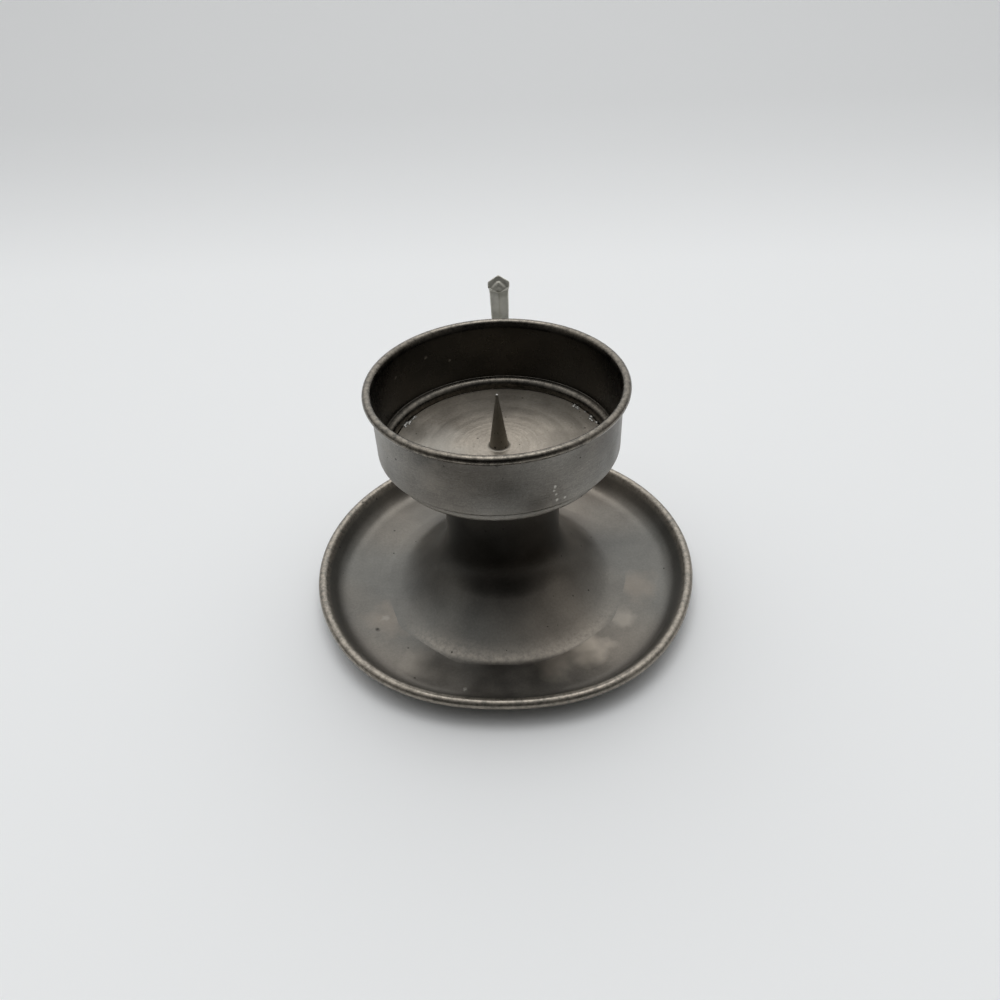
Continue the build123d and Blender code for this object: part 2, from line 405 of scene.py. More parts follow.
def flecks():
    """Scattered small pits of mixed size."""
    tree, ins, outs = effect_group(
        "flecks",
        [("Vector", "Vector"), ("Density", "Float"), ("Amount", "Float"), ("Size", "Float")],
        [("Spots", "Float")],
    )
    place = ins.outputs["Vector"]
    density = ins.outputs["Density"]
    shake = noise_node(tree, place, maths(tree, "MULTIPLY", density, 2.6))
    shove = scaled_vector(tree, shake.outputs["Color"], maths(tree, "DIVIDE", 0.45, density))
    cells = add(tree, "TexVoronoi")
    plug(tree, cells, "Vector", vector_maths(tree, "ADD", place, shove))
    plug(tree, cells, "Scale", density)
    pick = add(tree, "SeparateColor", cells.outputs["Color"])
    chosen = maths(tree, "LESS_THAN", pick.outputs[0], ins.outputs["Amount"])
    reach = maths(tree, "MULTIPLY", ins.outputs["Size"], maths(tree, "ADD", pick.outputs[1], 0.4))
    near = maths(tree, "SUBTRACT", 1.0, maths(tree, "DIVIDE", cells.outputs["Distance"], reach), clamp=True)
    soft = rescale(tree, near, 0.0, 0.45)
    tree.links.new(maths(tree, "MULTIPLY", soft, chosen), outs.inputs["Spots"])
    return tree


def rubbed_edges_and_sheen():
    """Bright scuffed metal on rims and ridges, and the painted highlight along the front of the stem's hem,
    broken up along its length.
    """
    tree, ins, outs = effect_group(
        "rubbed_edges_and_sheen", [("Vector", "Vector"), ("Rub", "Float")], [("Rubbed", "Float")]
    )
    broken = cloud_noise(tree, ins.outputs["Vector"], 700.0, detail=5.0, roughness=0.75)
    breaks = rescale(tree, broken, 0.36, 0.6, 0.1, 1.0)
    share = maths(tree, "MULTIPLY", ins.outputs["Rub"], breaks, clamp=True)
    tree.links.new(share, outs.inputs["Rubbed"])
    return tree


def placed_mark():
    """One soft spot with a ragged edge, round a given place and as wide as its reach."""
    tree, ins, outs = effect_group(
        "placed_mark", [("Vector", "Vector"), ("Spot", "Vector"), ("Reach", "Float")], [("Mask", "Float")]
    )
    place = ins.outputs["Vector"]
    reach = ins.outputs["Reach"]
    shake = noise_node(tree, place, maths(tree, "DIVIDE", 1.1, reach))
    centred = vector_maths(tree, "SUBTRACT", shake.outputs["Color"], (0.5, 0.5, 0.5))
    shove = scaled_vector(tree, centred, maths(tree, "MULTIPLY", reach, 1.6))
    moved = vector_maths(tree, "ADD", place, shove)
    gap = add(tree, "VectorMath", moved, ins.outputs["Spot"], operation="DISTANCE").outputs["Value"]
    near = maths(tree, "SUBTRACT", 1.0, maths(tree, "DIVIDE", gap, reach), clamp=True)
    tree.links.new(rescale(tree, near, 0.0, 0.7), outs.inputs["Mask"])
    return tree


TURNING = turning_marks()
TARNISH = tarnish()
FLECKS = flecks()
RUBBED_AND_SHEEN = rubbed_edges_and_sheen()
PLACED = placed_mark()

PIT_DENSITY = 900.0
PIT_SIZE = 0.32
PIT_SHARE = 0.75
PIT_ROUGHNESS = 0.3
PIT_DEPTH = 0.6
GRAIN_DEPTH = 0.12
LINE_SHADE = 0.5
BUMP_STRENGTH = 0.35
BUMP_DEPTH = 0.05

Mark = namedtuple("Mark", "radius bearing height reach share colour")
Finish = namedtuple(
    "Finish",
    "metal dark pale warm rubbed cloud_scale warmth smooth_rough dull_rough"
    " line_density line_depth pit_amount",
)

# Colours of the marks: painted sheen, painted warm highlight, painted shade, dirt, painted highlight, bright
# metal and the loop's painted highlight
PAINTED_SHEEN = (0.30, 0.272, 0.23)
PAINTED_WARM_HIGHLIGHT = (0.27, 0.225, 0.178)
PAINTED_SHADE = (0.2, 0.18, 0.15)
DIRT = (0.02, 0.018, 0.016)
PAINTED_HIGHLIGHT = (0.42, 0.37, 0.305)
BRIGHT = (0.55, 0.53, 0.48)
PAINTED_POST_HIGHLIGHT = (0.82, 0.81, 0.74)


def metal_shader(name, metal):
    """New material with one metal shader; gives back both."""
    material = bpy.data.materials.new(name)
    material.use_nodes = True
    tree = material.node_tree
    tree.nodes.clear()
    out = tree.nodes.new("ShaderNodeOutputMaterial")
    shader = tree.nodes.new("ShaderNodeBsdfPrincipled")
    shader.inputs["Metallic"].default_value = metal
    tree.links.new(shader.outputs[0], out.inputs[0])
    return material, shader


def tarnished_tone(tree, skin, look):
    """Colour and roughness of a finish, from the clouds, stains and mottling of its skin."""
    colour = blend_colours(tree, skin.outputs["Cloud"], (*look.dark, 1), (*look.pale, 1))
    stain = maths(tree, "MULTIPLY", skin.outputs["Stain"], look.warmth)
    colour = blend_colours(tree, stain, colour, (*look.warm, 1))
    rough = rescale(tree, skin.outputs["Mottle"], 0.0, 1.0, look.smooth_rough, look.dull_rough)
    return colour, rough


def pewter(name, finish, second_finish=None, placed=()):
    """Old metal: tarnished colour, lathe lines, pits and scuffed bright edges over one metal shader.

    Where a second finish is given, the brush attribute of the mesh leads from the first to it:
    to the BRUSHED outer face of the cup, and to a darker copy, painted shade, up the column of the stem.
    The rub attribute gives the scuffed rims and ridges, and also the painted highlight
    on the front of the stem's hem.
    Placed marks lie on top of the tarnish; many of them are painted highlights and painted shade.
    """
    material, shader = metal_shader(name, finish.metal)
    tree = material.node_tree
    place = tree.nodes.new("ShaderNodeTexCoord").outputs["Object"]
    rub = add(tree, "Attribute", attribute_name="rub").outputs["Fac"]
    skin = use_group(tree, TARNISH, **{"Vector": place, "Cloud Scale": finish.cloud_scale})
    lathe = use_group(tree, TURNING, Vector=place, Density=finish.line_density)
    pits = use_group(tree, FLECKS, Vector=place, Density=PIT_DENSITY, Amount=finish.pit_amount, Size=PIT_SIZE)
    worn_and_sheen = use_group(tree, RUBBED_AND_SHEEN, Vector=place, Rub=rub)
    lines = lathe.outputs["Lines"]
    spots = pits.outputs["Spots"]

    colour, rough = tarnished_tone(tree, skin, finish)
    depth = finish.line_depth
    if second_finish:
        brush = add(tree, "Attribute", attribute_name="brush").outputs["Fac"]
        other_colour, other_rough = tarnished_tone(tree, skin, second_finish)
        colour = blend_colours(tree, brush, colour, other_colour)
        rough = blend_values(tree, brush, rough, other_rough)
        depth = rescale(tree, brush, 0.0, 1.0, finish.line_depth, second_finish.line_depth)

    stripe = maths(tree, "MULTIPLY", maths(tree, "SUBTRACT", lines, 0.5), depth)
    shade = maths(tree, "ADD", maths(tree, "MULTIPLY", stripe, LINE_SHADE), 1.0)
    mottle = rescale(tree, skin.outputs["Mottle"], 0.0, 1.0, 0.86, 1.12)
    grain = rescale(tree, skin.outputs["Grain"], 0.0, 1.0, 0.9, 1.1)
    for tint in (shade, mottle, grain):
        colour = blend_colours(tree, 1.0, colour, tint, "MULTIPLY")
    # Scuffed rims and ridges, and the painted highlight on the front of the stem's hem.
    colour = blend_colours(tree, worn_and_sheen.outputs["Rubbed"], colour, (*finish.rubbed, 1))
    colour = blend_colours(tree, maths(tree, "MULTIPLY", spots, PIT_SHARE), colour, (*DIRT, 1))
    for mark in placed:
        angle = radians(mark.bearing)
        spot = Vector((mark.radius * cos(angle), mark.radius * sin(angle), mark.height)) * MM
        mask = use_group(tree, PLACED, Vector=place, Spot=spot, Reach=mark.reach * MM).outputs["Mask"]
        colour = blend_colours(tree, maths(tree, "MULTIPLY", mask, mark.share), colour, (*mark.colour, 1))
    rough = maths(tree, "ADD", rough, maths(tree, "MULTIPLY", spots, PIT_ROUGHNESS), clamp=True)
    tree.links.new(colour, shader.inputs["Base Color"])
    tree.links.new(rough, shader.inputs["Roughness"])

    height = maths(tree, "MULTIPLY", lines, depth)
    height = maths(tree, "ADD", height, maths(tree, "MULTIPLY", skin.outputs["Grain"], GRAIN_DEPTH))
    height = maths(tree, "SUBTRACT", height, maths(tree, "MULTIPLY", spots, PIT_DEPTH))
    bump = tree.nodes.new("ShaderNodeBump")
    bump.inputs["Strength"].default_value = BUMP_STRENGTH
    bump.inputs["Distance"].default_value = BUMP_DEPTH * MM
    tree.links.new(height, bump.inputs["Height"])
    tree.links.new(bump.outputs[0], shader.inputs["Normal"])
    return material


# Finishes: each one changes what it needs of the polished metal
POLISHED = Finish(
    metal=1.0, dark=(0.102, 0.100, 0.092), pale=(0.134, 0.130, 0.117), warm=(0.172, 0.146, 0.117),
    rubbed=(0.34, 0.305, 0.255), cloud_scale=22.0, warmth=0.6, smooth_rough=0.22, dull_rough=0.32,
    line_density=2200.0, line_depth=0.1, pit_amount=0.006,
)
SATIN = POLISHED._replace(metal=0.84, smooth_rough=0.28, dull_rough=0.38)
# Darker copy of the satin pewter: painted shade up the stem's column, under the cup.
SHADED_COLUMN = SATIN._replace(
    dark=(0.034, 0.032, 0.028), pale=(0.046, 0.043, 0.038), warm=(0.07, 0.057, 0.044),
    smooth_rough=0.32, dull_rough=0.42,
)
# Darker copy for the inside of the cup: painted shade in its hollow.
SHADED_INSIDE = POLISHED._replace(
    dark=(0.05, 0.048, 0.043), pale=(0.08, 0.077, 0.068), warm=(0.09, 0.078, 0.063), cloud_scale=38.0,
)
BRUSHED = POLISHED._replace(
    dark=(0.105, 0.101, 0.092), pale=(0.29, 0.279, 0.254), warmth=0.4, smooth_rough=0.34,
    dull_rough=0.48, line_depth=1.0,
)
# Painted light: paler than the spun pieces, to lift the shaded front of the loop.
CAST = POLISHED._replace(
    metal=0.62, dark=(0.46, 0.455, 0.403), pale=(0.64, 0.63, 0.56), warm=(0.5, 0.47, 0.405),
    rubbed=(0.68, 0.67, 0.605), warmth=0.3, smooth_rough=0.42, dull_rough=0.54, line_depth=0.0,
    pit_amount=0.03,
)
TURNED = POLISHED._replace(
    metal=0.75, dark=(0.30, 0.28, 0.242), pale=(0.55, 0.513, 0.447), warm=(0.40, 0.345, 0.28),
    smooth_rough=0.36, dull_rough=0.46, line_density=900.0, line_depth=0.7, pit_amount=0.02,
)
IRON = POLISHED._replace(
    dark=(0.27, 0.26, 0.23), pale=(0.42, 0.40, 0.355), warm=(0.34, 0.3, 0.245),
    rubbed=(0.92, 0.92, 0.90), smooth_rough=0.45, dull_rough=0.6, line_depth=0.2, pit_amount=0.25,
)
STEEL = POLISHED._replace(
    dark=(0.36, 0.36, 0.35), pale=(0.48, 0.48, 0.47), warm=(0.42, 0.36, 0.3), warmth=0.4,
    smooth_rough=0.3, dull_rough=0.45, line_depth=0.0,
)
WIRE = STEEL._replace(dark=(0.22, 0.21, 0.2), pale=(0.32, 0.31, 0.3))
TIN = POLISHED._replace(
    dark=(0.34, 0.34, 0.32), pale=(0.54, 0.53, 0.5), warm=(0.44, 0.4, 0.35), warmth=0.2,
    smooth_rough=0.4, dull_rough=0.55, line_depth=0.0,
)

# Marks in known places: painted highlights, painted sheen and painted shade, and dark and pale spots
DISH_HIGHLIGHTS_AND_SPOTS = (
    # Painted highlights and painted sheen: pale and warm patches on the dish floor round the foot of the
    # stem.
    Mark(44.0, -54, 1.2, 9.0, 0.65, PAINTED_HIGHLIGHT),
    Mark(45.0, -30, 1.2, 6.0, 0.45, PAINTED_SHEEN),
    Mark(44.5, -69, 1.2, 8.0, 0.45, PAINTED_HIGHLIGHT),
    Mark(49.5, -125, 1.2, 8.0, 0.3, PAINTED_SHEEN),
    Mark(45.0, -152, 1.2, 9.0, 0.3, PAINTED_WARM_HIGHLIGHT),
    Mark(46.8, -10, 1.2, 9.0, 0.3, PAINTED_WARM_HIGHLIGHT),
    # A small dark spot and two small pale flecks.
    Mark(50.0, -148, 1.2, 1.0, 0.9, DIRT),
    Mark(45.6, -152, 1.2, 1.7, 0.12, BRIGHT),
    Mark(53.0, -103, 1.2, 0.9, 0.5, BRIGHT),
)
CUP_MARKS = (
    Mark(37.65, -64.6, 66.7, 0.6, 0.9, BRIGHT),
    Mark(37.65, -65.1, 65.4, 0.5, 0.8, BRIGHT),
    Mark(37.65, -64.1, 63.9, 0.5, 0.8, BRIGHT),
    Mark(37.65, -63.6, 61.8, 0.6, 0.9, BRIGHT),
    Mark(37.65, -59.7, 61.8, 0.5, 0.8, BRIGHT),
    Mark(38.0, -88.8, 77.3, 1.0, 0.8, DIRT),
    # Painted sheen: a broad pale patch on the front left of the wall.
    Mark(37.65, -118, 70.0, 6.0, 0.25, PAINTED_SHEEN),
    Mark(37.65, -75, 62.0, 6.0, 0.3, DIRT),
    Mark(36.75, 131, 72.9, 0.8, 0.4, BRIGHT),
    Mark(36.75, 117, 69.0, 0.6, 0.4, BRIGHT),
    Mark(36.75, 153, 72.3, 0.7, 0.4, BRIGHT),
)
PLATE_LIGHT_AND_SHADE = (
    # Painted shade over the right of the plate, and a painted highlight on its left.
    Mark(23.0, -6, PLATE_TOP, 17.0, 0.55, PAINTED_SHADE),
    Mark(25.0, 42, PLATE_TOP, 12.0, 0.4, PAINTED_SHADE),
    Mark(21.0, 178, PLATE_TOP, 13.0, 0.35, BRIGHT),
)
LOOP_HIGHLIGHTS = (
    # Painted highlight: pale streaks down the front of the grip's post, which stands in shade.
    Mark(58.6, 90, 77.0, 4.5, 0.8, PAINTED_POST_HIGHLIGHT),
    Mark(59.2, 88.5, 74.0, 4.0, 0.7, PAINTED_POST_HIGHLIGHT),
)

dish_pewter = pewter("dish_pewter", SATIN, placed=DISH_HIGHLIGHTS_AND_SPOTS)
stem_pewter = pewter("stem_pewter", SATIN, SHADED_COLUMN)
cup_pewter = pewter("cup_pewter", SHADED_INSIDE, BRUSHED, CUP_MARKS)
cast_pewter = pewter("cast_pewter", CAST, placed=LOOP_HIGHLIGHTS)
turned_plate = pewter("turned_plate", TURNED, placed=PLATE_LIGHT_AND_SHADE)
dark_iron = pewter("dark_iron", IRON)
plain_steel = pewter("plain_steel", STEEL)
soft_solder = pewter("soft_solder", TIN)
drawn_wire = pewter("drawn_wire", WIRE)

# Knocks in the rim of the dish: it is pushed in at the front, out beside that and a little out at the left
Knock = namedtuple("Knock", "bearing push width")
RIM_KNOCKS = (Knock(-90, -1.4, 20), Knock(-50, 1.2, 22), Knock(-132, 0.5, 16))
KNOCK_RADII = (46, 64)
FLOOR_WAVE = 0.55
FLOOR_WAVE_SCALE = 50
FLOOR_WAVE_LIFT = 0.4
FLOOR_WAVE_RISE = (37, 48)
FLOOR_WAVE_FALL = (66, 54)


def knock_rim(vert):
    """Moves a point of the rim in or out, by its bearing."""
    radius, bearing = polar(vert.co)
    shift = 0.0
    for knock in RIM_KNOCKS:
        shift += knock.push * exp(-((bearing_gap(bearing, knock.bearing) / knock.width) ** 2))
    grow(vert, radius, shift * smooth_step(*KNOCK_RADII, radius))


def make_dish():
    lip_sine, lip_cosine = sin(radians(DISH_LIP_ANGLE)), cos(radians(DISH_LIP_ANGLE))
    lip_rise = DISH_LIP_BEND * (1 - lip_cosine)
    lip_run = (DISH_RIM_HEIGHT + DISH_BEAD * lip_cosine - lip_rise - DISH_SHEET) / lip_sine
    floor_radius = DISH_BEAD_CENTRE - (DISH_BEAD + DISH_LIP_BEND) * lip_sine - lip_run * lip_cosine
    steps = [
        Run(floor_radius - DISH_HOLE, pieces=12),
        Bend(DISH_LIP_BEND + DISH_SHEET, DISH_LIP_ANGLE),
        Run(lip_run, pieces=2),
        Bend(DISH_BEAD - DISH_SHEET, -DISH_ROLL_ANGLE, rub=1.0),
    ]
    mesh = sheet_section((DISH_HOLE, 0), steps, DISH_SHEET)
    spin_round(mesh, DISH_AROUND)
    for vert in mesh.verts:
        radius = polar(vert.co)[0]
        knock_rim(vert)
        wave = noise.noise((vert.co.x * FLOOR_WAVE_SCALE, vert.co.y * FLOOR_WAVE_SCALE, 4.2))
        on_floor = smooth_step(*FLOOR_WAVE_RISE, radius) * smooth_step(*FLOOR_WAVE_FALL, radius)
        vert.co.z += FLOOR_WAVE * max(0.0, wave + FLOOR_WAVE_LIFT) * on_floor * MM
    soften(mesh)
    add_piece(mesh, "drip_dish", dish_pewter, "base_dish")


def make_rim_wire():
    """Wire inside the rolled rim of the dish, bent along with it."""
    wire = DISH_BEAD - DISH_SHEET - RIM_WIRE_CLEARANCE
    pen = SectionPen(DISH_BEAD_CENTRE, DISH_RIM_HEIGHT - wire)
    pen.bend(wire, 360)
    merge_doubles(pen.mesh)
    spin_round(pen.mesh, DISH_AROUND)
    for vert in pen.mesh.verts:
        knock_rim(vert)
    soften(pen.mesh)
    add_piece(pen.mesh, "rolled_in_wire", drawn_wire, "dish_rim_wire")


# Skirt of the stem: full round its front bearing, sunk towards the dish at the sides and back
SKIRT_FRONT = -84
SKIRT_TURN = (28, 72)
SKIRT_SINK = 0.7
SKIRT_SINK_RADII = (20, 40)
# Painted highlight: a pale band along the front of the hem only.
HEM_SHEEN = 0.45
HEM_SHEEN_RISE = (36.5, 39.5)
HEM_SHEEN_FALL = (43, 40.5)
# Heights over which the column turns to its painted shade.
COLUMN_SHADE_HEIGHTS = (11, 21)
STEM_WAVE = 0.22
STEM_WAVE_SCALE = 45
STEM_WAVE_RISE = (2, 12)
STEM_WAVE_FALL = (54, 40)

Arc = namedtuple("Arc", "radius first last")


def arc_drop(arc):
    """Height lost along an arc that eases from one slope to another."""
    return arc.radius * abs(cos(radians(arc.last)) - cos(radians(arc.first)))


def arc_width(arc):
    """Radius gained along the same arc."""
    return arc.radius * abs(sin(radians(arc.last)) - sin(radians(arc.first)))


def stem_section():
    """Column, flare, skirt and hem, the flat filed seat, and the way back up the inside."""
    upright = 90 - STEM_LEAN
    flare = Arc(STEM_FLARE_BEND, upright, STEM_FLARE_SLOPE)
    skirt = Arc(STEM_SKIRT_BEND, STEM_FLARE_SLOPE, STEM_SKIRT_SLOPE)
    hem = Arc(STEM_HEM_BEND, STEM_SKIRT_SLOPE, STEM_HEM_SLOPE)
    edge = Arc(STEM_EDGE_BEND, STEM_HEM_SLOPE, STEM_EDGE_SLOPE)
    shoulder_drop = arc_drop(Arc(STEM_SHOULDER, upright, 0))
    foot_drop = sum(arc_drop(arc) for arc in (flare, skirt, hem, edge))
    column_run = (CUP_BASE - DISH_SHEET - shoulder_drop - foot_drop) / cos(radians(STEM_LEAN))
    flat = STEM_TOP_RADIUS - STEM_SHOULDER * sin(radians(upright)) - TAIL_HOLE
    pen = SectionPen(TAIL_HOLE, CUP_BASE)
    pen.run(flat, 3)
    pen.bend(STEM_SHOULDER, -upright)
    pen.run(column_run, 6)
    for arc in (flare, skirt, hem, edge):
        pen.bend(arc.radius, arc.first - arc.last)
    inner_bend = hem.radius + STEM_SHEET
    seat_slope = degrees(acos((arc_drop(edge) + hem.radius * cos(radians(hem.last))) / inner_bend))
    hem_width = inner_bend * sin(radians(seat_slope)) - hem.radius * sin(radians(hem.last))
    pen.heading = 180
    pen.run(arc_width(edge) + hem_width, 3)
    pen.heading = 180 - seat_slope
    pen.bend(inner_bend, seat_slope - hem.first)
    for arc in (skirt, flare):
        pen.bend(arc.radius + STEM_SHEET, arc.last - arc.first)
    pen.run(column_run, 4)
    pen.bend(STEM_SHOULDER - STEM_SHEET, upright)
    pen.run(flat, 2)
    pen.close()
    return pen.mesh


def make_stem():
    """Hollow stem, with a painted highlight along the front of its hem and painted shade up its column, under
    the cup.
    """
    mesh = stem_section()
    spin_round(mesh, STEM_AROUND)
    rub, brush = mesh.verts.layers.float["rub"], mesh.verts.layers.float["brush"]
    for vert in mesh.verts:
        radius, bearing = polar(vert.co)
        side = smooth_step(*SKIRT_TURN, bearing_gap(bearing, SKIRT_FRONT))
        on_hem = smooth_step(*HEM_SHEEN_RISE, radius) * smooth_step(*HEM_SHEEN_FALL, radius)
        # Painted highlight on the front of the hem only.
        vert[rub] = HEM_SHEEN * (1 - side) * on_hem
        above = max(0.0, vert.co.z - DISH_SHEET * MM)
        vert.co.z -= above * SKIRT_SINK * side * smooth_step(*SKIRT_SINK_RADII, radius)
        height = vert.co.z / MM
        # Painted shade: the darker copy takes over up the column, under the cup.
        vert[brush] = smooth_step(*COLUMN_SHADE_HEIGHTS, height)
        wave = noise.noise(vert.co * STEM_WAVE_SCALE + Vector((3.1, 0, 0)))
        on_column = smooth_step(*STEM_WAVE_RISE, height) * smooth_step(*STEM_WAVE_FALL, height)
        grow(vert, radius, STEM_WAVE * wave * on_column)
    soften(mesh)
    add_piece(mesh, "trumpet_stem_skin", stem_pewter, "trumpet_stem")


def make_cup():
    """Flat bottom, side of the well, sloping ledge, wall, slight flare and rolled edge."""
    flare_sine, flare_cosine = sin(radians(CUP_FLARE_ANGLE)), cos(radians(CUP_FLARE_ANGLE))
    roll = CUP_BEAD - CUP_SHEET
    flare_width = CUP_RIM_RADIUS - CUP_BEAD - roll * flare_cosine - CUP_WALL_RADIUS
    flare_run = (flare_width - CUP_FLARE_BEND * (1 - flare_cosine)) / flare_sine
    flare_rise = CUP_FLARE_BEND * flare_sine + flare_run * flare_cosine - roll * flare_sine
    ledge_turn = 90 - LEDGE_SLOPE
    ledge_radii = LEDGE_INNER_BEND + LEDGE_OUTER_BEND + CUP_SHEET
    ledge_width = CUP_WALL_RADIUS - CUP_SHEET - WELL_RADIUS
    ledge_run = (ledge_width - ledge_radii * (1 - cos(radians(ledge_turn)))) / cos(radians(LEDGE_SLOPE))
    ledge_rise = ledge_radii * sin(radians(ledge_turn)) + ledge_run * sin(radians(LEDGE_SLOPE))
    ledge_bottom = CUP_BASE + CUP_SHEET + WELL_DEPTH
    corner = WELL_CORNER + CUP_SHEET
    steps = [
        Run(WELL_RADIUS + CUP_SHEET - corner - TAIL_HOLE, pieces=4),
        Bend(corner, 90, rub=0.25),
        Run(ledge_bottom - CUP_BASE - corner),
        Bend(LEDGE_INNER_BEND, -ledge_turn, rub=0.35),
        Run(ledge_run),
        Bend(LEDGE_OUTER_BEND + CUP_SHEET, ledge_turn, rub=0.2),
        Run(CUP_RIM_HEIGHT - ledge_bottom - ledge_rise - flare_rise, pieces=8),
        Bend(CUP_FLARE_BEND, -CUP_FLARE_ANGLE),
        Run(flare_run),
        Bend(roll, -CUP_ROLL_ANGLE, rub=0.6),
    ]
    mesh = sheet_section((TAIL_HOLE, CUP_BASE), steps, CUP_SHEET, right_brush=1.0)
    spin_round(mesh, CUP_AROUND)
    soften(mesh)
    add_piece(mesh, "cup_shell", cup_pewter, "candle_cup")


# Turned grooves of the plate, closer together towards the spike
Groove = namedtuple("Groove", "radius half_width")
GROOVES = (
    Groove(5.6, 0.5), Groove(7.0, 0.7), Groove(8.6, 0.6), Groove(10.1, 0.8), Groove(12.0, 0.7),
    Groove(14.2, 0.9), Groove(17.4, 0.6), Groove(22.5, 0.5), Groove(28.8, 0.5),
)
GROOVE_SLOPE = 4.0


def make_plate():
    """Plate with its lower edge cut back round the corner of the well and grooves in its top."""
    pen = SectionPen(TAIL_HOLE, PLATE_TOP - PLATE_THICKNESS)
    pen.run(PLATE_RADIUS - WELL_CORNER - TAIL_HOLE)
    pen.heading = 45
    pen.run(WELL_CORNER / cos(radians(45)))
    pen.heading = 90
    pen.run(PLATE_THICKNESS - WELL_CORNER - PLATE_EDGE_BEND)
    pen.bend(PLATE_EDGE_BEND, 90, rub=0.6)
    at = PLATE_RADIUS - PLATE_EDGE_BEND
    for groove in reversed(GROOVES):
        pen.run(at - groove.radius - groove.half_width, 2)
        for turn in (GROOVE_SLOPE, -GROOVE_SLOPE):
            pen.heading = 180 + turn
            pen.run(groove.half_width / cos(radians(turn)))
        pen.heading = 180
        at = groove.radius - groove.half_width
    pen.run(at - TAIL_HOLE)
    pen.close()
    spin_round(pen.mesh, PLATE_AROUND)
    soften(pen.mesh)
    add_piece(pen.mesh, "turned_floor_plate", turned_plate, "cup_floor_plate")


def make_spike():
    """Threaded tail, flat shoulder on the plate, small fillet, slender cone and rounded point."""
    cone_top = SPIKE_TOP - SPIKE_TIP
    cone_rise = cone_top - PLATE_TOP - SPIKE_FILLET
    lean = degrees(atan2(cone_rise, SPIKE_TIP + SPIKE_FILLET - SPIKE_BASE))
    pen = SectionPen(0, TAIL_BOTTOM)
    pen.run(TAIL_RADIUS - TAIL_CHAMFER)
    pen.heading = 45
    pen.run(TAIL_CHAMFER / cos(radians(45)))
    for _ in range(THREAD_TURNS):
        for turn in (THREAD_SLOPE, -THREAD_SLOPE):
            pen.heading = 90 + turn
            pen.run(THREAD_PITCH / 2 / cos(radians(turn)))
    pen.heading = 90
    pen.run(PLATE_TOP - TAIL_BOTTOM - TAIL_CHAMFER - THREAD_TURNS * THREAD_PITCH)
    pen.heading = 0
    pen.run(SPIKE_BASE - TAIL_RADIUS)
    pen.heading = 180
    pen.bend(SPIKE_FILLET, -90 + (lean - 90) / 2)
    cone = Vector((SPIKE_TIP, cone_top)) - pen.tip.co.xz / MM
    pen.heading = degrees(atan2(cone.y, cone.x))
    pen.run(cone.length, 14)
    pen.heading = SPIKE_TIP_HEADING
    pen.bend(SPIKE_TIP, 180 - SPIKE_TIP_HEADING, rub=1.0)
    spin_round(pen.mesh, SPIKE_AROUND)
    soften(pen.mesh)
    add_piece(pen.mesh, "pricket_spike", dark_iron, "candle_spike")


# Finger loop: bezier lines of its grip and limb in the upright plane, and sizes at shares of them
BarSize = namedtuple("BarSize", "share width depth ridge")
GRIP_LINE = ((45.66, -2.59), (62.01, 22.58), (66.1, 52.51), (59.9, 81.68))
LIMB_LINE = ((37.25, 67.12), (53.61, 67.12), (63.25, 61.01), (62.41, 48.54))
GRIP_SIZES = (
    BarSize(0.0, 9.7, 6.9, 1.1),
    BarSize(0.045, 9.7, 6.9, 1.1),
    BarSize(0.15, 6.2, 4.5, 1.1),
    BarSize(0.85, 6.2, 4.5, 1.1),
    BarSize(0.95, 6.6, 4.5, 1.1),
    BarSize(1.0, 6.8, 4.5, 1.2),
)
CURL_SIZES = (
    BarSize(0.0, 6.8, 4.5, 1.2),
    BarSize(0.35, 7.6, 6.3, 2.25),
    BarSize(1.0, 7.4, 6.2, 2.2),
)
LIMB_SIZES = (
    BarSize(0.0, 8.6, 8.1, 1.1),
    BarSize(0.2, 5.5, 4.1, 1.1),
    BarSize(1.0, 5.5, 4.1, 1.1),
)
GRIP_STATIONS = 44
CURL_STATIONS = 16
LIMB_STATIONS = 30
CURL_RADIUS = 3.5
CURL_ANGLE = 90.0
THUMB_CUT = (0, 57.3, 84.5)
THUMB_TILT = 28.0
THUMB_ROOF = 0.2
FOOT_CUT = (0, 0, 0.7)
WELD_SIZE = 0.26
WELD_SMOOTHING = 5
CAST_GRAIN = 0.05
CAST_GRAIN_SCALE = 420
RIDGE_SMOOTHING = 8
RIDGE_STANDS = (0.05, 0.2)

Station = namedtuple("Station", "spot ahead width depth ridge")


def sizes_at(table, share):
    """Width, depth and ridge at a share of a line, eased between the entries of its table."""
    for (low, *sizes), (high, *later) in zip(table, table[1:]):
        if share <= high:
            ease = smooth_step(low, high, share)
            return [size + (next_size - size) * ease for size, next_size in zip(sizes, later)]
    return table[-1][1:]


def line_stations(corners, table, count):
    """Places, directions and sizes along a bezier line in the upright plane."""
    spots = geometry.interpolate_bezier(*[Vector((0, y, z)) for y, z in corners], count)
    stations = []
    for index, spot in enumerate(spots):
        before, after = spots[max(0, index - 1)], spots[min(count - 1, index + 1)]
        sizes = sizes_at(table, index / (count - 1))
        stations.append(Station(spot, (after - before).normalized(), *sizes))
    return stations


def curl_stations(start, ahead, count):
    """Stations round the curl that carries on from the top of the grip, turning towards the cup."""
    inward = Vector((0, -ahead.z, ahead.y))
    centre = start + inward * CURL_RADIUS
    stations = []
    for index in range(1, count + 1):
        share = index / count
        turn = Matrix.Rotation(radians(CURL_ANGLE * share), 3, "X")
        spot = centre + turn @ (start - centre)
        stations.append(Station(spot, turn @ ahead, *sizes_at(CURL_SIZES, share)))
    return stations


